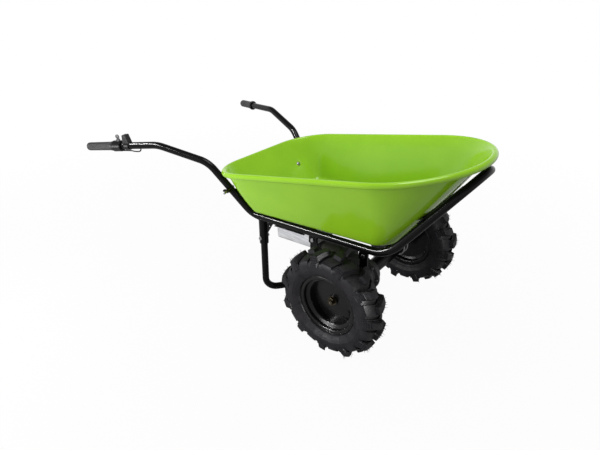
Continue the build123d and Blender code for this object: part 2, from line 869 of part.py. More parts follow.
def tyre_lug():
    """One bar of the tread on the outboard side, leading at the tyre's middle."""
    top = tyre_d / 2
    root = crown_r - lug_height
    foot = lug_width / 2 + lug_height * tan(radians(lug_draft))
    middle = lug_sweep / 2
    inner_y = -lug_width / 3
    outer_y = tyre_w / 2 + lug_height
    plan = Polyline((middle - foot, inner_y), (middle + foot, inner_y),
                    (foot - middle, outer_y), (-foot - middle, outer_y), close=True)
    base = Plane((root, 0, 0), x_dir=(0, 0, -1), z_dir=(1, 0, 0))
    bar = extrude(base * make_face(plan), 3 * lug_height, taper=lug_draft)
    bar += extrude(base * make_face(plan), -2 * lug_height)
    shoulder = (top - lug_height / 2, 0.86 * tyre_w / 2)
    side = (crown_r - lug_height, tyre_w / 2)
    skirt_r = root - 1.5 * lug_height
    outline = Polyline((root, inner_y), (top, inner_y), (top, tyre_w / 5), shoulder, side,
                       (skirt_r, tyre_w / 2 - 2.5), (skirt_r, tyre_w / 2 - tyre_wall), (root, tyre_w / 4),
                       close=True)
    ring = Rot(0, -lug_sweep, 0) * revolve(make_face(outline), Axis.Y, 2 * lug_sweep)
    return bar & ring


def tyre():
    carcass = tyre_carcass()
    lug = tyre_lug()
    step = 360 / lug_count
    outboard = [Rot(0, 90 + i * step, 0) * lug for i in range(lug_count)]
    inboard = [mirrored(Rot(0, 90 + (i + 0.5) * step, 0) * lug) for i in range(lug_count)]
    return wheel_place(carcass + outboard + inboard)


def valve_axis():
    """The valve's seat in the rim well, with +Z along its stem, inward and outboard."""
    turn = Rot(0, -valve_angle, 0) * Pos(rim_well_d / 2 - rim_sheet, 0, 0)
    return turn * Rot(0, -90, 0) * Rot(-valve_lean, 0, 0)


def rim():
    """A pressed rim with its curled flanges, bead seats and well, and a disc welded inside it."""
    mid = rim_sheet / 2
    seat = rim_seat_d / 2 - mid
    well = rim_well_d / 2 - mid
    flange_y = rim_width / 2 + mid
    lip = (rim_flange_d / 2 - mid, flange_y + rim_bend_r)
    half = [lip, (rim_flange_d / 2 - rim_bend_r, flange_y), (seat, flange_y),
            (seat - 1, rim_width / 4 + 3), (well, rim_width / 5)]
    points = half + [(r, -y) for r, y in reversed(half)]
    centre = FilletPolyline(*points, radius=[rim_bend_r / 2] + [rim_bend_r] * 6 + [rim_bend_r / 2])
    section = trace(centre, rim_sheet)
    hub_hole = hub_boss_d / 2 + hole_gap
    disc = Pos((hub_hole + well) / 2, disc_y) * Rectangle(well - hub_hole, rim_sheet)
    barrel = revolve(section, Axis.Y) + revolve(disc, Axis.Y)
    return wheel_place(barrel - valve_axis() * hole(valve_d, 3 * rim_sheet))


def valve():
    stem = pin(valve_d, valve_length / 2) + pin(0.6 * valve_d, valve_length)
    stem += Pos(0, 0, -1.5 * rim_sheet) * pin(valve_d, 1.5 * rim_sheet)
    stem += Pos(0, 0, 0.75 * valve_length) * pin(0.8 * valve_d, valve_length / 4)
    return wheel_place(valve_axis() * stem)


def hub():
    inner_y = disc_y - rim_sheet / 2
    boss = pin(hub_boss_d, hub_boss_length)
    flange = Pos(0, 0, hub_boss_proud + rim_sheet) * pin(hub_flange_d, hub_flange_t)
    body = boss + flange - pin(shaft_d, hub_boss_length)
    return wheel_place(Pos(0, hub_end_y, 0) * Rot(90, 0, 0) * body)


def wheel_nut():
    nut = hexagon(wheel_nut_af, wheel_nut_h) + pin(1.4 * wheel_nut_af, nut_flange_t)
    return wheel_place(along_y(0, hub_end_y, 0, nut - pin(shaft_d, wheel_nut_h)))


def half_shaft(start):
    """The left shaft, from its end in the housing out through the wheel nut."""
    end = wheel_y + hub_end_y + wheel_nut_h + nut_flange_t
    return along_y(0, start, axle_z, pin(shaft_d, end - start))


# Grips and controls: local X runs up the left handle from the grip's end, local Z stands off it

handle_axis = (handle_high - grip_end).normalized()
handle_side = Vector(0, 0, 1).cross(handle_axis).normalized()
handle_frame = Plane(grip_end, x_dir=handle_axis, z_dir=handle_axis.cross(handle_side))
throttle_bore_r = tube_r + running_gap
throttle_tube_r = throttle_bore_r + throttle_tube_wall


def sleeve_along(start, end, outer_r, inner_r):
    length = end - start
    return Pos(start, 0, 0) * Rot(0, 90, 0) * (pin(2 * outer_r, length) - pin(2 * inner_r, length))


def on_right_handle(shape):
    return mirrored(handle_frame * shape)


def grip_shell(bore_r, length):
    """A rubber grip, closed and rounded at its end."""
    grip = pin(2 * grip_r, length)
    grip = fillet(grip.edges().sort_by(Axis.Z)[0], grip_round)
    grip -= Pos(0, 0, grip_end_wall) * pin(2 * bore_r, length)
    return Rot(0, 90, 0) * grip


def grip_left():
    grip = grip_shell(tube_r, grip_length)
    grip += sleeve_along(grip_length - grip_flange_t, grip_length, grip_flange_r, tube_r)
    return handle_frame * grip


def grip_right():
    return on_right_handle(grip_shell(throttle_tube_r, grip_length - end_gap))


def throttle_tube():
    end = grip_length + throttle_overlap
    return on_right_handle(sleeve_along(grip_end_wall, end, throttle_tube_r, throttle_bore_r))


def throttle_housing():
    end = grip_length + throttle_housing_l
    body = Pos(grip_length, 0, 0) * Rot(0, 90, 0) * pin(2 * throttle_housing_r, throttle_housing_l)
    body = fillet(body.edges(), throttle_round)
    body -= sleeve_along(grip_length, end, tube_r, 0)
    recess_end = grip_length + throttle_overlap + end_gap
    body -= sleeve_along(grip_length, recess_end, throttle_tube_r + throttle_gap, 0)
    return on_right_handle(body - Pos(key_s, 0, lock_bottom) * pin(2 * lock_r, lock_top))


def key_lock():
    barrel = pin(2 * lock_r, lock_top - lock_bottom)
    keyway = pin(key_blade_w + 2 * key_gap, lock_top)
    return on_right_handle(Pos(key_s, 0, lock_bottom) * (barrel - Pos(0, 0, 2 * key_gap) * keyway))


def key():
    """A flat key: a round bow with a ring hole, on a blade that stands in the lock."""
    reach = lock_top - lock_bottom - 3 * key_gap
    bow_z = reach + key_gap + key_bow_r
    blade = Pos(0, 0, (reach + key_bow_r) / 2) * Box(key_blade_w * 0.9, key_t, reach + key_bow_r)
    bow = Pos(0, 0, bow_z) * Rot(90, 0, 0) * Cylinder(key_bow_r, key_t)
    bow -= Pos(0, 0, bow_z + key_bow_r / 3) * Rot(90, 0, 0) * Cylinder(key_bow_hole_r, 2 * key_t)
    lowest = lock_bottom + 3 * key_gap
    return on_right_handle(Pos(key_s, 0, lowest) * (blade + bow))


switch_low = Vector(switch_start, 0, switch_base)
switch_high = Vector(switch_start + switch_slope, 0, switch_top)
rocker_up = (switch_high - switch_low).normalized()
rocker_mid = (switch_low + switch_high) * 0.5
rocker_frame = Plane(rocker_mid, x_dir=rocker_up, z_dir=rocker_up.cross(Vector(0, 1, 0)))


def switch_box():
    outline = Polyline((switch_start, switch_base), (switch_end, switch_base),
                       (switch_end - switch_slope, switch_top), (switch_start + switch_slope, switch_top),
                       close=True)
    box = extrude(Plane.XZ * make_face(outline), switch_half, both=True)
    rounded = box.edges().filter_by(Axis.Y).sort_by(Axis.Z)[2:4] + box.faces().sort_by(Axis.Z)[-1].edges()
    box = fillet(rounded, switch_round)
    middle = (switch_start + switch_end) / 2
    box += sleeve_along(middle - clamp_w / 2, middle + clamp_w / 2, tube_r + clamp_t, 0)
    box -= sleeve_along(switch_start - 1, switch_end + 1, tube_r, 0)
    pocket = Box(rocker_l + 2 * rocker_gap, rocker_w + rocker_gap, 2 * rocker_pocket)
    return on_right_handle(box - rocker_frame * pocket)


def rocker():
    """A two-way switch cap with a raised ridge at its middle."""
    half = rocker_l / 2
    outline = Polyline((-half, -rocker_t), (half, -rocker_t), (half, 0), (0, rocker_peak), (-half, 0),
                       close=True)
    cap = extrude(Plane.XZ * make_face(outline), rocker_w / 2, both=True)
    return on_right_handle(rocker_frame * cap)


def cable_entry():
    return handle_frame * Pos(cable_entry_s, 0, -tube_r) * Cylinder(cable_d / 2 + hole_gap, 3 * tube_wall)


def throttle_cable():
    """The cable from the throttle housing under the switch clamp and up into the handle tube."""
    start_s = grip_length + throttle_housing_l
    run_z = -tube_r - clamp_t - cable_d / 2 - seat_gap
    low_z = run_z - cable_d
    route = [(start_s, 0, run_z), (switch_end - cable_bend, 0, run_z), (switch_end + cable_bend, 0, low_z),
             (cable_entry_s, 0, low_z), (cable_entry_s, 0, -tube_r + 2 * tube_wall)]
    return on_right_handle(bent_bar(route, [cable_bend, cable_bend, cable_bend], Circle(cable_d / 2)))


def pair(name, left):
    return {name + "_left": left, name + "_right": mirrored(left)}


def build():
    nodes = pair("frame_rail", frame_rail())
    nodes["front_hoop"] = front_hoop()
    nodes["handle_left"] = handle_tube()
    nodes["handle_right"] = handle_right()
    nodes["handle_bolts"] = both_sides(handle_bolt())
    nodes["handle_wing_nuts"] = both_sides(wing_nut())
    nodes["rear_cross_bar"] = rear_cross_bar()
    nodes["front_cross_bar"] = front_cross_bar()
    nodes["tray"] = tray()
    nodes["tray_bolts"] = tray_bolts()
    nodes["tray_nuts"] = tray_nuts()
    nodes["stand_hoop"] = stand_hoop()
    nodes.update(pair("stand_sleeve", stand_sleeve()))
    nodes["stand_braces"] = both_sides(stand_brace())
    nodes["stand_bolts"] = both_sides(stand_bolt())
    nodes["stand_nuts"] = both_sides(stand_nut())
    nodes["battery_pan"] = battery_pan()
    nodes["pan_bolts"] = pan_bolts()
    nodes["batteries"] = batteries()
    nodes["controller"] = controller()
    nodes["charge_socket"] = charge_socket()
    nodes.update(pair("axle_hanger", axle_hanger()))
    nodes["hanger_bolts"] = hanger_bolts()
    nodes["hanger_nuts"] = hanger_nuts()
    nodes["axle_u_bolts"] = axle_u_bolts()
    nodes["u_bolt_nuts"] = u_bolt_nuts()
    nodes["gear_housing_left"] = housing_half(Keep.BOTTOM)
    nodes["gear_housing_right"] = housing_half(Keep.TOP)
    nodes["housing_bolts"] = housing_bolts()
    nodes["motor"] = motor()
    nodes["motor_end_cap"] = motor_end_cap()
    nodes["motor_bolts"] = motor_bolts()
    nodes["axle_tube_left"] = axle_tube(housing_left_y)
    nodes["axle_tube_right"] = mirrored(axle_tube(-housing_right_y))
    nodes["bearings"] = bearings()
    nodes["seals"] = seals()
    nodes.update(pair("tyre", tyre()))
    nodes.update(pair("rim", rim()))
    nodes.update(pair("valve", valve()))
    nodes.update(pair("hub", hub()))
    nodes.update(pair("wheel_nut", wheel_nut()))
    nodes["half_shaft_left"] = half_shaft(housing_left_y - shaft_grip + shaft_end_gap)
    nodes["half_shaft_right"] = mirrored(half_shaft(-housing_right_y - shaft_grip + shaft_end_gap))
    nodes["grip_left"] = grip_left()
    nodes["grip_right"] = grip_right()
    nodes["throttle_tube"] = throttle_tube()
    nodes["throttle_housing"] = throttle_housing()
    nodes["key_lock"] = key_lock()
    nodes["key"] = key()
    nodes["switch_box"] = switch_box()
    nodes["rocker"] = rocker()
    nodes["throttle_cable"] = throttle_cable()
    return nodes


def centred(nodes):
    """Moves the cart so that the origin is under the middle of its box."""
    reach_back = min(nodes[name].bounding_box().min.X for name in ("grip_left", "grip_right"))
    reach_front = max(nodes[name].bounding_box().max.X for name in ("tray", "front_hoop"))
    shift = -(reach_back + reach_front) / 2
    return shift, {name: Pos(shift, 0, 0) * shape for name, shape in nodes.items()}


def main():
    shift, nodes = centred(build())
    os.makedirs("parts", exist_ok=True)
    for name, shape in nodes.items():
        export_step(shape, "parts/" + name + ".step")
    print("axle at x =", round(shift, 3), "with", len(nodes), "pieces")


if __name__ == "__main__":
    main()
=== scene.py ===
import json
import math
import random
import bpy
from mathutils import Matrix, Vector

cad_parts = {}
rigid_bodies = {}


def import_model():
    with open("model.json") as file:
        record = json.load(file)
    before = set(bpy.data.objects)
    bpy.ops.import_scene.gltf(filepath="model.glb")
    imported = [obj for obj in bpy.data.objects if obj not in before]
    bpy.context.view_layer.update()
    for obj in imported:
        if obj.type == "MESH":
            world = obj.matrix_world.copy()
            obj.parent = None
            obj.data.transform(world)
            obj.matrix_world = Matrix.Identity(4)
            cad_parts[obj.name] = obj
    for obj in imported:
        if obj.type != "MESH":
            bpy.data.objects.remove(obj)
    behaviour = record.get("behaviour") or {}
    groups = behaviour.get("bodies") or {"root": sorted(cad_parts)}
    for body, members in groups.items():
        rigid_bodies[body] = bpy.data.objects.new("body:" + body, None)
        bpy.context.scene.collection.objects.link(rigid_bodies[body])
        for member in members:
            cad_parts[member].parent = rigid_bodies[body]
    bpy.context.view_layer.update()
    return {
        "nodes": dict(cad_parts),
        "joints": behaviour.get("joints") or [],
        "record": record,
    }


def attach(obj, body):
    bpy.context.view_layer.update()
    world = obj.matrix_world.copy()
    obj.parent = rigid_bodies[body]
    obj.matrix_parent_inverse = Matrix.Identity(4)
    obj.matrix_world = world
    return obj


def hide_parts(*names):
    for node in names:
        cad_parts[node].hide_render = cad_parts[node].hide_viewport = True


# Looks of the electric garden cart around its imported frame.
# Metres, except where a name or comment says millimetres. +X points to the nose,
# +Y to the user's left and +Z up.

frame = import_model()
joints = {joint["name"]: joint for joint in frame["joints"]}
nodes = frame["nodes"]
mm = 0.001
rng = random.Random(7)

# Places taken from the joints
grip_length = 137 * mm
handle_dir = Vector(joints["throttle_twist"]["axis"]).normalized()
handle_up = Vector(joints["key_turn"]["axis"]).normalized()
handle_side = handle_up.cross(handle_dir)
grip_end = Vector(joints["throttle_twist"]["pos_m"]) - handle_dir * grip_length / 2

# Camera, matched to the photograph
camera_at = (1.1144, -1.3206, 1.2113)
camera_turn = (60.56, 0.0, 39.39)
focal_px = 460.25
frame_px = 600
sensor_mm = 36.0


# Node helpers

def new_material(name):
    material = bpy.data.materials.new(name)
    material.use_nodes = True
    return material


def shader_of(material):
    return material.node_tree.nodes["Principled BSDF"]


def add_node(material, kind, **settings):
    node = material.node_tree.nodes.new(kind)
    for key, value in settings.items():
        setattr(node, key, value)
    return node


def join(material, source, target):
    material.node_tree.links.new(source, target)


def coordinates(material, stretch=(1, 1, 1), turn=(0, 0, 0)):
    """Object coordinates in metres, turned and then stretched along the axes."""
    place = add_node(material, "ShaderNodeTexCoord")
    mapping = add_node(material, "ShaderNodeMapping")
    mapping.inputs["Scale"].default_value = stretch
    mapping.inputs["Rotation"].default_value = turn
    join(material, place.outputs["Object"], mapping.inputs["Vector"])
    return mapping.outputs["Vector"]


def noise(material, scale, detail=4.0, stretch=(1, 1, 1), turn=(0, 0, 0)):
    texture = add_node(material, "ShaderNodeTexNoise")
    texture.inputs["Scale"].default_value = scale
    texture.inputs["Detail"].default_value = detail
    join(material, coordinates(material, stretch, turn), texture.inputs["Vector"])
    return texture.outputs["Fac"]


def ramp(material, source, low, high):
    """Maps a noise's middle range onto low to high."""
    node = add_node(material, "ShaderNodeMapRange")
    node.inputs["From Min"].default_value = 0.3
    node.inputs["From Max"].default_value = 0.7
    node.inputs["To Min"].default_value = low
    node.inputs["To Max"].default_value = high
    join(material, source, node.inputs["Value"])
    return node.outputs["Result"]


def mix_colour(material, factor, first, second):
    node = add_node(material, "ShaderNodeMix", data_type="RGBA")
    node.inputs[6].default_value = (*first, 1)
    node.inputs[7].default_value = (*second, 1)
    join(material, factor, node.inputs[0])
    return node.outputs[2]


def bump(material, height, distance):
    node = add_node(material, "ShaderNodeBump")
    node.inputs["Distance"].default_value = distance
    join(material, height, node.inputs["Height"])
    return node.outputs["Normal"]


def finish_material(material, colours, colour_noise, roughness, rough_noise, normal):
    """Links colour variation, roughness variation and bump to the shader."""
    shader = shader_of(material)
    colour = mix_colour(material, ramp(material, colour_noise, 0, 1), *colours)
    join(material, colour, shader.inputs["Base Color"])
    join(material, ramp(material, rough_noise, *roughness), shader.inputs["Roughness"])
    join(material, normal, shader.inputs["Normal"])
    return material


def grey(value):
    return (value, value, value * 1.04)


# Materials

def paint(name, colours, roughness, specular, peel=0.00002):
    """Powder coat with a faint orange peel."""
    material = new_material(name)
    shader_of(material).inputs["Specular IOR Level"].default_value = specular
    normal = bump(material, noise(material, 420, 2), peel)
    return finish_material(material, colours, noise(material, 9), roughness, noise(material, 60), normal)


def metal(name, colours, roughness, stretch=(1, 1, 1), turn=(0, 0, 0), grain=300, depth=0.00003):
    """Plated or bare metal, with its grain drawn out along one way."""
    material = new_material(name)
    shader_of(material).inputs["Metallic"].default_value = 1.0
    lines = noise(material, grain, 6, stretch, turn)
    broad = noise(material, grain / 8, 5, stretch, turn)
    return finish_material(material, colours, broad, roughness, lines, bump(material, lines, depth))


def moulding(name, colours, roughness, specular=0.4, grain=900, depth=0.00006):
    """Moulded plastic or rubber with a fine grain."""
    material = new_material(name)
    shader_of(material).inputs["Specular IOR Level"].default_value = specular
    normal = bump(material, noise(material, grain, 3), depth)
    return finish_material(material, colours, noise(material, 25), roughness, noise(material, 120), normal)


tray_greens = [(0.255, 0.515, 0.016), (0.285, 0.555, 0.020)]
tyre_blacks = [(0.0065, 0.0055, 0.0075), (0.018, 0.016, 0.020)]
brushed_turn = (0, math.radians(38), 0)

materials = {
    "tray_paint": paint("tray_paint", tray_greens, (0.11, 0.17), 0.42),
    "tube_paint": paint("tube_paint", [grey(0.003), grey(0.005)], (0.15, 0.19), 0.13, 0.000006),
    "rim_paint": paint("rim_paint", [grey(0.005), grey(0.008)], (0.16, 0.24), 0.22),
    "tyre_rubber": moulding("tyre_rubber", tyre_blacks, (0.38, 0.54), 0.17, 700, 0.00016),
    "zinc": metal("zinc", [grey(0.30), grey(0.44)], (0.26, 0.38)),
    "dark_zinc": metal("dark_zinc", [(0.035, 0.03, 0.021), (0.11, 0.092, 0.06)], (0.26, 0.40)),
    "galvanised": metal("galvanised", [grey(0.46), grey(0.76)], (0.30, 0.44), (1, 1, 12), brushed_turn, 160),
    "axle_steel": metal("axle_steel", [grey(0.40), grey(0.50)], (0.25, 0.38)),
    "cast_housing": moulding("cast_housing", [grey(0.030), grey(0.042)], (0.42, 0.55), 0.35, 500, 0.0002),
    "motor_paint": paint("motor_paint", [(0.050, 0.050, 0.040), (0.065, 0.065, 0.052)], (0.30, 0.40), 0.35),
    "grip_rubber": moulding("grip_rubber", [grey(0.028), grey(0.043)], (0.36, 0.48), 0.28),
    "black_rubber": moulding("black_rubber", [grey(0.012), grey(0.020)], (0.42, 0.55), 0.3),
    "black_plastic": moulding("black_plastic", [grey(0.006), grey(0.011)], (0.26, 0.38), 0.22),
    "rocker_plastic": moulding("rocker_plastic", [grey(0.020), grey(0.030)], (0.18, 0.26)),
    "battery_case": moulding("battery_case", [grey(0.040), grey(0.060)], (0.40, 0.50)),
    "bare_aluminium": metal("bare_aluminium", [grey(0.55), grey(0.65)], (0.30, 0.42), (1, 14, 1)),
    "key_metal": metal("key_metal", [grey(0.22), grey(0.34)], (0.26, 0.36)),
}


def dress_nodes():
    """Gives every CAD node its slot's material."""
    for row in frame["record"]["subparts"]:
        mesh = nodes[row["node"]].data
        mesh.materials.clear()
        mesh.materials.append(materials[row["material_slot"]])


# Mesh helpers

def add_piece(name, points, faces, slot, body, replaced=()):
    mesh = bpy.data.meshes.new(name)
    mesh.from_pydata([tuple(point) for point in points], [], faces)
    mesh.polygons.foreach_set("use_smooth", [True] * len(faces))
    mesh.materials.append(materials[slot])
    piece = bpy.data.objects.new(name, mesh)
    bpy.context.scene.collection.objects.link(piece)
    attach(piece, body)
    if replaced:
        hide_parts(*replaced)
    return piece


def grid_faces(rows, columns, close_rows=True):
    """Quads of a grid whose columns close on themselves, and whose rows may."""
    faces = []
    for i in range(rows if close_rows else rows - 1):
        for j in range(columns):
            a = i * columns + j
            b = i * columns + (j + 1) % columns
            c = ((i + 1) % rows) * columns + (j + 1) % columns
            d = ((i + 1) % rows) * columns + j
            faces.append((a, b, c, d))
    return faces


def mirrored(point):
    return Vector((point.x, -point.y, point.z))


class Soup:
    """Points and faces of many small forms that make one piece."""

    def __init__(self):
        self.points = []
        self.faces = []

    def add(self, points, faces):
        start = len(self.points)
        self.points += points
        self.faces += [tuple(start + i for i in face) for face in faces]

    def add_tube(self, line, radii, columns):
        """A closed tube along a line of points that lies about level, with a radius at each."""
        points = []
        for i, at in enumerate(line):
            ahead = (line[min(i + 1, len(line) - 1)] - line[max(i - 1, 0)]).normalized()
            side = ahead.cross(Vector((0, 0, 1))).normalized()
            other = ahead.cross(side)
            for k in range(columns):
                turn = 2 * math.pi * k / columns
                points.append(at + (side * math.cos(turn) + other * math.sin(turn)) * radii[i])
        ends = [tuple(range(columns)), tuple(range(len(points) - 1, len(points) - columns - 1, -1))]
        self.add(points, grid_faces(len(line), columns, False) + ends)


# Tray: one pressed sheet with a rolled rim, about its middle surface. Millimetres; places are (x, z),
# with x ahead of the axle and z above the ground, and slopes are degrees from level.

tray_sheet = 2.0
floor_z = 409.2
floor_slope = 5.151
rim_z = 646.0
rim_slope = 11.8
rear_wall = ((-505.5, 444.1), 132.07)
nose_wall = ((222.9, 546.6), 57.2)
sizes_low_high = {"half": (209.0, 282.5), "corner_r": (30.0, 145.0), "nose_half": (199.0, 267.0),
                  "nose_r": (75.0, 265.0)}
size_growth = {"half": 1.0, "corner_r": 1.6, "nose_half": 1.0, "nose_r": 1.5}
floor_round = 30.0
roll_r = 10.0
roll_lean = 32.0
round_steps = 9
wall_steps = 6
roll_steps = 16
nose_line_steps = 5
nose_arc_steps = 20
side_line_steps = 14
corner_arc_steps = 18
rear_line_steps = 6


def wall_cut(at, slope, wall):
    """How far along a sloping line a wall's line crosses it."""
    (x, z), wall_slope = wall
    turn = math.radians(wall_slope)
    across = (x - at[0]) * math.sin(turn) - (z - at[1]) * math.cos(turn)
    return across / math.sin(turn - math.radians(slope))


def arc_row(centre, radius, start, end, steps):
    turns = [start + (end - start) * i / steps for i in range(steps + 1)]
    return [(centre[0] + radius * math.cos(turn), centre[1] + radius * math.sin(turn)) for turn in turns]


def line_row(start, end, steps):
    shares = [i / steps for i in range(1, steps)]
    return [(start[0] + (end[0] - start[0]) * s, start[1] + (end[1] - start[1]) * s) for s in shares]


def tray_outline(rear, nose, half, corner_r, nose_half, nose_r):
    """Four circles joined by their outer tangents, from the nose's middle round: (along, y)."""
    nose_c = (nose - nose_r, nose_half - nose_r)
    corner_c = (rear + corner_r, half - corner_r)
    run, step = nose_c[0] - corner_c[0], nose_c[1] - corner_c[1]
    side = math.atan2(run, -step) - math.asin((corner_r - nose_r) / math.hypot(run, step))
    front = arc_row(nose_c, nose_r, 0.0, side, nose_arc_steps)
    back = arc_row(corner_c, corner_r, side, math.pi, corner_arc_steps)
    nose_middle, rear_middle = (nose, 0.0), (rear, 0.0)
    row = [nose_middle] + line_row(nose_middle, front[0], nose_line_steps) + front
    row += line_row(front[-1], back[0], side_line_steps) + back
    row += line_row(back[-1], rear_middle, rear_line_steps) + [rear_middle]
    return row + [(s, -y) for s, y in reversed(row[1:-1])]


def placed_outline(level):
    """The outline at a level from the floor, 0, to the rim, 1, and the way outward at each point."""
    at = (0.0, floor_z + (rim_z - floor_z) * level)
    slope = floor_slope + (rim_slope - floor_slope) * level
    turn = math.radians(slope)
    sizes = {}
    for name, (low, high) in sizes_low_high.items():
        sizes[name] = low + (high - low) * level ** size_growth[name]
    flat = tray_outline(wall_cut(at, slope, rear_wall), wall_cut(at, slope, nose_wall), **sizes)
    spots = [Vector((at[0] + s * math.cos(turn), y, at[1] + s * math.sin(turn))) for s, y in flat]
    up = Vector((-math.sin(turn), 0, math.cos(turn)))
    outward = []
    for i in range(len(spots)):
        outward.append((spots[(i + 1) % len(spots)] - spots[i - 1]).cross(up).normalized())
    return spots, outward, up


def rounded_corner(corner, first, second, radius):
    """The arc that joins two ways out of a corner, with both its ends."""
    half = first.angle(second) / 2
    start = corner + first * radius / math.tan(half)
    end = corner + second * radius / math.tan(half)
    centre = corner + (first + second).normalized() * radius / math.sin(half)
    a, b = start - centre, end - centre
    sweep = a.angle(b)
    row = []
    for i in range(round_steps + 1):
        turn = sweep * i / round_steps
        row.append(centre + (a * math.sin(sweep - turn) + b * math.sin(turn)) / math.sin(sweep))
    return row


def tray_section(wall, floor_out, rim_out, rim_up):
    """The middle of the sheet from the floor's edge up the wall and over the rolled rim."""
    row = rounded_corner(wall[0], -floor_out, (wall[1] - wall[0]).normalized(), floor_round)
    row += list(wall[1:-1])
    lean = math.radians(roll_lean)
    centre = wall[-1] + (rim_out * math.cos(lean) - rim_up * math.sin(lean)) * roll_r
    for i in range(roll_steps + 1):
        turn = math.pi - lean - math.pi * i / roll_steps
        row.append(centre + (rim_out * math.cos(turn) + rim_up * math.sin(turn)) * roll_r)
    return row


def sheet_mesh(sections, thickness):
    """A closed sheet about a grid of sections that go round, capped over its first row."""
    columns, rows = len(sections), len(sections[0])
    outer, inner = [], []
    for i in range(rows):
        for j in range(columns):
            along = sections[(j + 1) % columns][i] - sections[j - 1][i]
            up = sections[j][min(i + 1, rows - 1)] - sections[j][max(i - 1, 0)]
            off = along.cross(up).normalized() * thickness / 2
            outer.append(sections[j][i] + off)
            inner.append(sections[j][i] - off)
    faces = grid_faces(rows, columns, False)
    start = len(outer)
    last = start - columns
    faces += [tuple(start + k for k in reversed(face)) for face in faces]
    for j in range(columns):
        k = (j + 1) % columns
        faces.append((last + j, last + k, start + last + k, start + last + j))
    return outer + inner, faces + [tuple(reversed(range(columns))), tuple(range(start, start + columns))]


def build_tray():
    levels = [placed_outline(i / wall_steps) for i in range(wall_steps + 1)]
    walls = zip(*[spots for spots, _, _ in levels])
    floor_out = levels[0][1]
    _, rim_out, rim_up = levels[-1]
    sections = [tray_section(*spot, rim_up) for spot in zip(walls, floor_out, rim_out)]
    points, faces = sheet_mesh(sections, tray_sheet)
    axle = Vector((joints["left_wheel_spin"]["pos_m"][0], 0, 0))
    add_piece("tray_pressing", [axle + point * mm for point in points], faces, "tray_paint", "cart", ["tray"])


# Tyres: a carcass whose tread bars stand up out of the same mesh, about the wheel's middle with
# the outboard side towards +Y. Millimetres; outline points are (radius, side).

tread_r = 200.0
crown_r = 187.0
shoulder = (174.0, 45.0)
side_middle = (144.35, 48.0)
side_foot = (113.8, 28.8)
side_steps = 26
lug_count = 11
lug_top = 13.5
lug_foot = 15.6
lug_edge = 1.1
lug_slope = 0.5
lug_lead = 27.0
lug_past = 9.0
flat_half = 20.0
tread_fall = 0.277
crown_power = 2.4
shoulder_places = (42.5, 44.0)
bar_middle = 6.0
lean_r = 190.0
top_flat = 0.55
gap_share = 0.2
tyre_turns = {"left": 85.0, "right": 94.0}
bar_places = [0, 8.4, 9, 11.1, 11.7, 16, 22, 28, 34, 38.5, 41.5]
bar_steps = [(193.2, 42.6), (187.0, 43.0), (186.4, 45.6), (179.4, 46.0), (178.8, 48.4), (171.6, 48.8),
             (171.0, 50.6), (163.6, 51.0), (163.0, 52.2), (156.0, 52.2), (154.2, 49.0)]
side_rings = {11: 0.5, 12: 0.8, 13: 0.4, 21: 0.4, 22: 1.7, 23: 1.9, 24: 0.5}
bead_line = [(109, 29.2), (105.5, 28.6), (102.2, 25), (101.9, 20), (106, 19.6), (116, 22),
             (140, 36), (168, 36), (177, 18)]
bar_crease = 32.0
hairs_per_bar = 8
hair_r = 0.9
hair_reach = (6, 14)
hair_places = (4, 43)
hair_edges = (0.82, 0.97)
hair_side = 0.5
hair_scatter = 0.25
hair_sunk = 0.6
lowest_hair = -0.93
spike_turns = (0, 2.094, 4.189)


def arc_points(start, middle, end, steps):
    """Points of the circle through three points, without its first one."""
    (ax, ay), (bx, by), (cx, cy) = start, middle, end
    d = 2 * (ax * (by - cy) + bx * (cy - ay) + cx * (ay - by))
    a2, b2, c2 = ax * ax + ay * ay, bx * bx + by * by, cx * cx + cy * cy
    ux = (a2 * (by - cy) + b2 * (cy - ay) + c2 * (ay - by)) / d
    uy = (a2 * (cx - bx) + b2 * (ax - cx) + c2 * (bx - ax)) / d
    radius = math.hypot(ax - ux, ay - uy)
    first = math.atan2(ay - uy, ax - ux)
    sweep = math.remainder(math.atan2(cy - uy, cx - ux) - first, 2 * math.pi)
    turns = [first + sweep * i / steps for i in range(1, steps + 1)]
    return [(ux + radius * math.cos(turn), uy + radius * math.sin(turn)) for turn in turns]


def carcass_at(y):
    """The carcass under the tread."""
    return (crown_r - (crown_r - shoulder[0]) * (y / shoulder[1]) ** crown_power, y)


def bar_at(y):
    """A bar's top, flat in the middle and falling to the shoulder."""
    return (tread_r - tread_fall * max(y - flat_half, 0), y)


def tyre_rows():
    """Rows from the tread's middle round to the bead: (side, carcass point, bar point)."""
    rows = [(y, carcass_at(y), bar_at(y)) for y in bar_places]
    side = arc_points(shoulder, side_middle, side_foot, side_steps)
    line = [carcass_at(y) for y in shoulder_places] + [shoulder] + side
    for low, high in zip(line, bar_steps):
        rows.append((shoulder[1], low, high))
    under_bars = len(bar_steps) - len(shoulder_places) - 1
    for i, (r, y) in enumerate(side, 1):
        if i > under_bars:
            point = (r, y + side_rings.get(i, 0))
            rows.append((shoulder[1], point, point))
    return rows + [(shoulder[1], point, point) for point in bead_line]


def bar_lean(y):
    """How far a bar has swept back at a distance from the tread's middle, as an angle."""
    return lug_slope * (math.hypot(min(y, shoulder[1]), bar_middle) - lug_lead) / lean_r


def bar_columns(turn):
    """Columns round the tyre: (angle, one on a bar, the bar's side)."""
    pitch = 2 * math.pi / lug_count
    top = lug_top / tread_r
    foot = lug_foot / crown_r
    edge = lug_edge / crown_r
    half = [0.0, top * top_flat, top - edge, top, foot, foot + edge, foot + 3 * edge, pitch * gap_share]
    places = [-p for p in reversed(half[1:])] + half
    columns = []
    for k in range(2 * lug_count):
        middle = -math.radians(turn) - k * pitch / 2
        columns += [(middle + p, float(abs(p) <= top), 1 - 2 * (k % 2)) for p in places]
    return columns


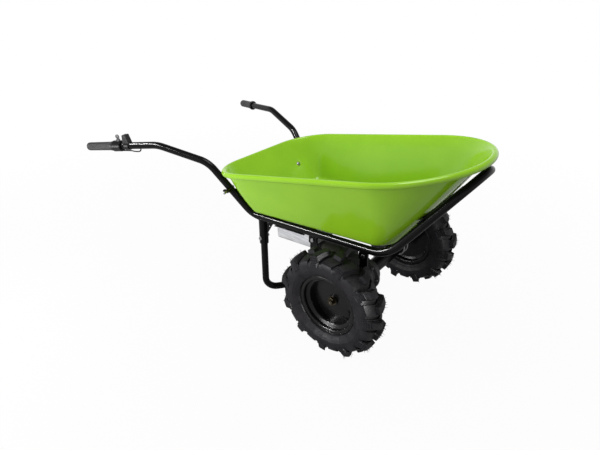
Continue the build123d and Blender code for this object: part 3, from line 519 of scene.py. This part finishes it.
def tyre_point(angle, radius, y):
    return Vector((radius * math.cos(angle), y, radius * math.sin(angle))) * mm


def tyre_mesh(turn):
    half = tyre_rows()
    rows = [(-1, row) for row in reversed(half[1:])] + [(1, row) for row in half]
    columns = bar_columns(turn)
    points = []
    for sign, (y, low, high) in rows:
        for angle, on, lug_side in columns:
            share = on if sign == lug_side or y <= lug_past else 0.0
            r = low[0] + (high[0] - low[0]) * share
            across = low[1] + (high[1] - low[1]) * share
            points.append(tyre_point(angle + bar_lean(y), r, sign * across))
    return points, grid_faces(len(rows), len(columns))


def tyre_hairs(turn):
    """Rubber hairs left by the mould's vents along the bars' edges, none near the ground."""
    soup = Soup()
    pitch = 2 * math.pi / lug_count
    for k in range(2 * lug_count):
        sign = 1 - 2 * (k % 2)
        for _ in range(hairs_per_bar):
            y = rng.uniform(*hair_places)
            edge = rng.choice((-1, 1)) * rng.uniform(*hair_edges) * lug_top / tread_r
            angle = -math.radians(turn) - k * pitch / 2 + bar_lean(y) + edge
            lean = sign * rng.uniform(0, hair_side) * y / hair_places[1]
            scatter = Vector([rng.uniform(-hair_scatter, hair_scatter) for _ in range(3)])
            outward = (Vector((math.cos(angle), lean, math.sin(angle))) + scatter).normalized()
            root = tyre_point(angle, bar_at(y)[0] - hair_sunk, sign * y)
            tip = root + outward * rng.uniform(*hair_reach) * mm
            if math.sin(angle) > lowest_hair:
                add_spike(soup, root, tip, hair_r * mm)
    return soup


def add_spike(soup, root, tip, radius):
    side = (tip - root).orthogonal().normalized() * radius
    other = (tip - root).normalized().cross(side)
    base = [root + side * math.cos(turn) + other * math.sin(turn) for turn in spike_turns]
    soup.add(base + [tip], [(0, 1, 3), (1, 2, 3), (2, 0, 3), (2, 1, 0)])


def build_tyres():
    for side, sign in (("left", 1), ("right", -1)):
        centre = Vector(joints[side + "_wheel_spin"]["pos_m"])
        hairs = tyre_hairs(tyre_turns[side])
        forms = {"tread": tyre_mesh(tyre_turns[side]), "hairs": (hairs.points, hairs.faces)}
        for name, (points, faces) in forms.items():
            placed = [centre + Vector((p.x, sign * p.y, p.z)) for p in points]
            turned = faces if sign < 0 else [tuple(reversed(face)) for face in faces]
            replaced = ["tyre_" + side] if name == "tread" else []
            full_name = "tyre_%s_%s" % (side, name)
            piece = add_piece(full_name, placed, turned, "tyre_rubber", side + "_wheel", replaced)
            piece.data.set_sharp_from_angle(angle=math.radians(bar_crease))


# Turned pieces: grips and the threaded shaft ends. Millimetres; profile points are (along, radius),
# with the flutes' depth as a third value where there are flutes.

def lathe(profile, columns, start, along, side, flutes=0):
    """A closed form turned about a line from its start."""
    other = along.cross(side)
    points = []
    for s, radius, *flute in profile:
        depth = sum(flute)
        for k in range(columns):
            turn = 2 * math.pi * k / columns
            r = (radius - depth * (0.5 - 0.5 * math.cos(flutes * turn))) * mm
            points.append(start + along * s * mm + (side * math.cos(turn) + other * math.sin(turn)) * r)
    ends = [tuple(reversed(range(columns))), tuple(range(len(points) - columns, len(points)))]
    return points, grid_faces(len(profile), columns, False) + ends


grip_flutes = 30
throttle_flute = 0.7
plain_flute = 0.9
throttle_profile = [(0, 3), (0.5, 8), (2, 12.6), (5, 15.6), (9, 16.7), (13, 16.9, throttle_flute),
                    (40, 17.0, throttle_flute), (80, 17.2, throttle_flute), (116, 17.6, throttle_flute),
                    (120, 17.7), (123, 17.6), (124.5, 18.4), (126, 18.9), (132, 18.9), (134.6, 18.4),
                    (135.8, 17.2), (135.9, 16.0), (6.2, 16.0), (6.1, 3)]
plain_profile = [(0, 3), (0.5, 8), (2, 12.6), (5, 16.2), (9, 17.5), (13, 17.8, plain_flute),
                 (60, 17.6, plain_flute), (116, 17.8, plain_flute), (121, 17.8), (128, 17.9), (129.4, 19.5),
                 (130.2, 21.8), (131.5, 22.6), (134.5, 22.6), (136.2, 21.9), (137, 20), (137, 14.55),
                 (6.2, 14.55), (6.1, 3)]
grip_columns = 8 * grip_flutes


def build_grips():
    points, faces = lathe(throttle_profile, grip_columns, grip_end, handle_dir, handle_side, grip_flutes)
    add_piece("throttle_grip", points, faces, "grip_rubber", "throttle", ["grip_right"])
    points, faces = lathe(plain_profile, grip_columns, grip_end, handle_dir, handle_side, grip_flutes)
    points = [mirrored(point) for point in points]
    faces = [tuple(reversed(face)) for face in faces]
    add_piece("plain_grip", points, faces, "grip_rubber", "cart", ["grip_left"])


nut_face = 289.5
shaft_end = 292.5
thread_pitch = 1.0
thread_turns = 3
thread_low_r = 10.05
thread_high_r = 10.6
end_chamfer = 0.6
turned_columns = 48


def build_shaft_ends():
    """The threaded end of each half shaft beyond its nut, with a chamfer and a centre mark."""
    profile = [(nut_face - 1, 10.02)]
    for i in range(thread_turns):
        profile.append((nut_face + (i + 0.1) * thread_pitch, thread_low_r))
        profile.append((nut_face + (i + 0.5) * thread_pitch, thread_high_r))
    tip = shaft_end + end_chamfer
    profile += [(shaft_end, 10.0), (tip, 9.2), (tip, 2.6), (shaft_end - 1, 0.6)]
    for side, sign in (("left", 1), ("right", -1)):
        centre = Vector(joints[side + "_wheel_spin"]["pos_m"])
        start = Vector((centre.x, 0, centre.z))
        points, faces = lathe(profile, turned_columns, start, Vector((0, sign, 0)), Vector((1, 0, 0)))
        add_piece("shaft_end_" + side, points, faces, "dark_zinc", side + "_wheel")


# Throttle cable: it leaves the housing, dips under the switch clamp and enters the handle tube.
# Route points are millimetres along the handle from the grip's end, and up from its middle.

cable_d = 5 * mm
cable_route = [(179, -20.3), (215, -20.3), (233, -25.3), (266, -25.3), (266, -10.5)]


def build_cable():
    curve = bpy.data.curves.new("throttle_lead", "CURVE")
    curve.dimensions = "3D"
    curve.bevel_depth = cable_d / 2
    curve.bevel_resolution = 5
    curve.use_fill_caps = True
    spline = curve.splines.new("NURBS")
    spline.points.add(len(cable_route) - 1)
    route = [grip_end + handle_dir * s * mm + handle_up * z * mm for s, z in cable_route]
    for point, at in zip(spline.points, route):
        point.co = (*at, 1)
    spline.order_u = 3
    spline.use_endpoint_u = True
    spline.resolution_u = 16
    curve.materials.append(materials["black_rubber"])
    piece = bpy.data.objects.new("throttle_lead", curve)
    bpy.context.scene.collection.objects.link(piece)
    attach(piece, "cart")
    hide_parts("throttle_cable")


# Weld beads where the axle hangers and the stand's sleeves meet the rails. Millimetres.

tube_r = 14.0
rail_start = Vector((-49.98, 196.5, 353.0))
rail_rise = 54.0 / 599.0
hanger_places = (252.02, 464.02)
hanger_half = 17.0
hanger_plate = 3.0
sleeve_at = (0.02, 190.0)
sleeve_r = 18.6
weld_r = 1.9
weld_step = 1.4
weld_low = 0.55
weld_wave = 0.45
wave_turn = 0.9
wave_start = 0.4
weld_end_r = 0.5
weld_columns = 8


def rail_z(x):
    return rail_start.z + (x - rail_start.x) * rail_rise


def under_rail(x, y):
    """The point on the underside of the left rail at a place."""
    off = min(abs(y - rail_start.y), tube_r)
    return Vector((x, y, rail_z(x) - math.sqrt(tube_r ** 2 - off ** 2)))


def add_weld(soup, line):
    """A rippled bead along a line of points, on both sides of the cart."""
    for flip in (1, -1):
        placed = [Vector((p.x, flip * p.y, p.z)) * mm for p in line]
        waves = [abs(math.sin(wave_turn * i + wave_start)) for i in range(len(line))]
        radii = [weld_r * mm * (weld_low + weld_wave * wave) for wave in waves]
        radii[0] = radii[-1] = weld_end_r * mm
        soup.add_tube(placed, radii, weld_columns)


def build_welds():
    soup = Soup()
    for x in hanger_places:
        count = int(2 * hanger_half / weld_step)
        places = [x - hanger_half + 2 * hanger_half * i / count for i in range(count + 1)]
        for face in (-1, 1):
            y = rail_start.y + face * hanger_plate
            add_weld(soup, [under_rail(place, y) for place in places])
    count = int(2 * math.pi * sleeve_r / weld_step)
    sleeve_x, sleeve_y = sleeve_at
    ring = []
    for i in range(count + 1):
        turn = 2 * math.pi * i / count
        ring.append(under_rail(sleeve_x + sleeve_r * math.cos(turn), sleeve_y + sleeve_r * math.sin(turn)))
    add_weld(soup, ring)
    add_piece("weld_beads", soup.points, soup.faces, "tube_paint", "cart")


# Motor and gear housing. Millimetres from the axle; the motor lies behind it, along the cart.

housing_y = -72.0
motor_rise = 28.0
drum_profile = [(-40, 10), (-40, 38), (-38.2, 45), (-33, 49), (-28, 50), (-5, 50), (-5, 64.4), (5, 64.4),
                (5, 50), (28, 50), (33, 49), (38.2, 45), (40, 38), (40, 10)]
neck_profile = [(0, 10), (0, 40), (66, 40), (69, 43), (69, 62.6), (76, 62.6), (76, 10)]
barrel_profile = [(76, 10), (76, 62.6), (83, 62.6), (83, 51), (84, 50), (90, 50), (91, 49.2), (176, 49.2),
                  (177, 50), (180, 50), (180, 10)]
cap_profile = [(180, 10), (180, 46), (184, 46), (184.8, 45), (210, 45), (214.5, 43.4), (217, 40), (218, 36),
               (218, 10)]
motor_columns = 64
screw_seat = 82.9
screw_turns = (45, 135, 225, 315)
screw_columns = 6
screw_edge = (0.6, 0.8)
screw_ring = 56.6
screw_head = (5.5, 4.0)


def build_motor():
    axle = Vector((joints["left_wheel_spin"]["pos_m"][0], 0, joints["left_wheel_spin"]["pos_m"][2]))
    middle = axle + Vector((0, housing_y, 0)) * mm
    behind, across, up = Vector((-1, 0, 0)), Vector((0, 1, 0)), Vector((0, 0, 1))
    start = middle + up * motor_rise * mm
    housing = Soup()
    housing.add(*lathe(drum_profile, motor_columns, middle, across, up))
    housing.add(*lathe(neck_profile, motor_columns, start, behind, across))
    add_piece("housing_casting", housing.points, housing.faces, "cast_housing", "cart",
              ["gear_housing_left", "gear_housing_right"])
    barrel = lathe(barrel_profile, motor_columns, start, behind, across)
    add_piece("motor_barrel", *barrel, "motor_paint", "cart", ["motor"])
    cap = lathe(cap_profile, motor_columns, start, behind, across)
    add_piece("motor_cap", *cap, "black_plastic", "cart", ["motor_end_cap"])
    screws = Soup()
    radius, height = screw_head
    edge_down, edge_in = screw_edge
    screw_profile = [(0, radius), (height - edge_down, radius), (height, radius - edge_in)]
    for turn in screw_turns:
        way = across * math.cos(math.radians(turn)) + up * math.sin(math.radians(turn))
        at = start + way * screw_ring * mm + behind * screw_seat * mm
        screws.add(*lathe(screw_profile, screw_columns, at, behind, across))
    add_piece("motor_screws", screws.points, screws.faces, "zinc", "cart", ["motor_bolts"])
    for name in ("housing_casting", "motor_barrel", "motor_cap", "motor_screws"):
        bpy.data.objects[name].data.set_sharp_from_angle(angle=math.radians(bar_crease))


# Stage

def build_floor():
    """A pale floor that keeps the cart's shadow and fades into a white background."""
    mesh = bpy.data.meshes.new("floor")
    reach = 30.0
    corners = [(-reach, -reach, 0), (reach, -reach, 0), (reach, reach, 0), (-reach, reach, 0)]
    mesh.from_pydata(corners, [], [(0, 1, 2, 3)])
    floor = bpy.data.objects.new("floor", mesh)
    bpy.context.scene.collection.objects.link(floor)
    material = new_material("floor")
    tree = material.node_tree
    shader = shader_of(material)
    shader.inputs["Base Color"].default_value = (0.45, 0.45, 0.45, 1)
    shader.inputs["Roughness"].default_value = 0.9
    shader.inputs["Specular IOR Level"].default_value = 0.0
    glow = add_node(material, "ShaderNodeEmission")
    mix = add_node(material, "ShaderNodeMixShader")
    rays = add_node(material, "ShaderNodeLightPath").outputs
    seen = math_node(tree, "MULTIPLY", rays["Is Camera Ray"], floor_share(material, 0.96, 2.4))
    through = math_node(tree, "MAXIMUM", rays["Is Glossy Ray"], rays["Is Transmission Ray"])
    reflected = math_node(tree, "MULTIPLY", through, floor_share(material, 0.12, 7.0))
    share = math_node(tree, "MAXIMUM", seen, reflected)
    join(material, share, mix.inputs[0])
    join(material, shader.outputs[0], mix.inputs[1])
    join(material, glow.outputs[0], mix.inputs[2])
    join(material, mix.outputs[0], tree.nodes["Material Output"].inputs["Surface"])
    mesh.materials.append(material)


def floor_share(material, near, reach):
    """The share of plain white in the floor: less near the cart, so that its shadow stays."""
    place = add_node(material, "ShaderNodeTexCoord")
    length = add_node(material, "ShaderNodeVectorMath", operation="LENGTH")
    join(material, place.outputs["Object"], length.inputs[0])
    fade = add_node(material, "ShaderNodeMapRange")
    for key, value in (("From Min", 0.8), ("From Max", reach), ("To Min", near), ("To Max", 1.0)):
        fade.inputs[key].default_value = value
    join(material, length.outputs["Value"], fade.inputs["Value"])
    return fade.outputs["Result"]


def math_node(tree, operation, first, second):
    node = tree.nodes.new("ShaderNodeMath")
    node.operation = operation
    tree.links.new(first, node.inputs[0])
    tree.links.new(second, node.inputs[1])
    return node.outputs[0]


def background_rays(tree):
    """One for rays that see the background itself: from the camera, by gloss or through glass."""
    rays = tree.nodes.new("ShaderNodeLightPath").outputs
    through = math_node(tree, "MAXIMUM", rays["Is Glossy Ray"], rays["Is Transmission Ray"])
    return math_node(tree, "MAXIMUM", rays["Is Camera Ray"], through)


def ceiling(tree):
    """White at the horizon, darker overhead, as a studio's ceiling shows in gloss."""
    place = tree.nodes.new("ShaderNodeTexCoord")
    split = tree.nodes.new("ShaderNodeSeparateXYZ")
    tree.links.new(place.outputs["Generated"], split.inputs[0])
    fade = tree.nodes.new("ShaderNodeMapRange")
    for key, value in (("From Min", 0.05), ("From Max", 0.55), ("To Min", 1.0), ("To Max", 0.22)):
        fade.inputs[key].default_value = value
    tree.links.new(split.outputs["Z"], fade.inputs["Value"])
    return fade.outputs["Result"]


def build_world():
    world = bpy.data.worlds.new("studio")
    bpy.context.scene.world = world
    world.use_nodes = True
    tree = world.node_tree
    ambient = tree.nodes["Background"]
    ambient.inputs["Color"].default_value = (1, 1, 1, 1)
    ambient.inputs["Strength"].default_value = 0.48
    white = tree.nodes.new("ShaderNodeBackground")
    white.inputs["Color"].default_value = (1, 1, 1, 1)
    rays = tree.nodes.new("ShaderNodeLightPath").outputs
    tree.links.new(math_node(tree, "MAXIMUM", rays["Is Camera Ray"], ceiling(tree)), white.inputs["Strength"])
    mix = tree.nodes.new("ShaderNodeMixShader")
    tree.links.new(background_rays(tree), mix.inputs[0])
    tree.links.new(ambient.outputs[0], mix.inputs[1])
    tree.links.new(white.outputs[0], mix.inputs[2])
    tree.links.new(mix.outputs[0], tree.nodes["World Output"].inputs["Surface"])


def add_lamp(name, at, target, size, power):
    data = bpy.data.lights.new(name, "AREA")
    data.shape = "RECTANGLE"
    data.size, data.size_y = size
    data.energy = power
    lamp = bpy.data.objects.new(name, data)
    lamp.location = at
    lamp.rotation_euler = (Vector(target) - Vector(at)).to_track_quat("-Z", "Y").to_euler()
    bpy.context.scene.collection.objects.link(lamp)
    return lamp


def pieces_of(*slots):
    """A group of the pieces with these finishes, for a lamp that only their gloss shows."""
    group = bpy.data.collections.new("lit_" + slots[0])
    wanted = [materials[slot] for slot in slots]
    for piece in bpy.context.scene.objects:
        if piece.type == "MESH" and piece.data.materials and piece.data.materials[0] in wanted:
            group.objects.link(piece)
    return group


def build_lamps():
    middle = (0.25, 0.0, 0.45)
    fill = add_lamp("fill_lamp", (-0.75, -1.5, 0.65), middle, (0.9, 0.7), 22)
    fill.visible_glossy = False
    add_lamp("top_lamp", (0.4, 0.0, 2.8), middle, (1.6, 1.2), 36)
    for slot in ("tube_paint", "rim_paint"):
        strip = add_lamp("strip_lamp", (-1.9, -2.6, 2.6), middle, (2.4, 0.15), 420)
        strip.visible_diffuse = False
        strip.light_linking.receiver_collection = pieces_of(slot)
    front = add_lamp("front_lamp", (2.3, -1.1, 0.7), middle, (0.9, 0.5), 100)
    front.visible_diffuse = False
    front.light_linking.receiver_collection = pieces_of("tyre_rubber", "cast_housing", "motor_paint")
    side = add_lamp("side_lamp", (-0.9, -2.6, 0.55), middle, (1.4, 0.9), 56)
    side.visible_diffuse = False
    dark_slots = ("tyre_rubber", "rim_paint", "grip_rubber", "cast_housing", "black_plastic", "motor_paint")
    side.light_linking.receiver_collection = pieces_of(*dark_slots, "galvanised")


def build_camera():
    data = bpy.data.cameras.new("camera")
    data.sensor_width = sensor_mm
    data.lens = focal_px / frame_px * sensor_mm
    camera = bpy.data.objects.new("camera", data)
    camera.location = camera_at
    camera.rotation_euler = [math.radians(angle) for angle in camera_turn]
    bpy.context.scene.collection.objects.link(camera)
    bpy.context.scene.camera = camera


bpy.context.scene.view_settings.view_transform = "Standard"
dress_nodes()
build_cable()
build_tyres()
build_tray()
build_grips()
build_shaft_ends()
build_motor()
build_welds()
build_floor()
build_world()
build_lamps()
build_camera()
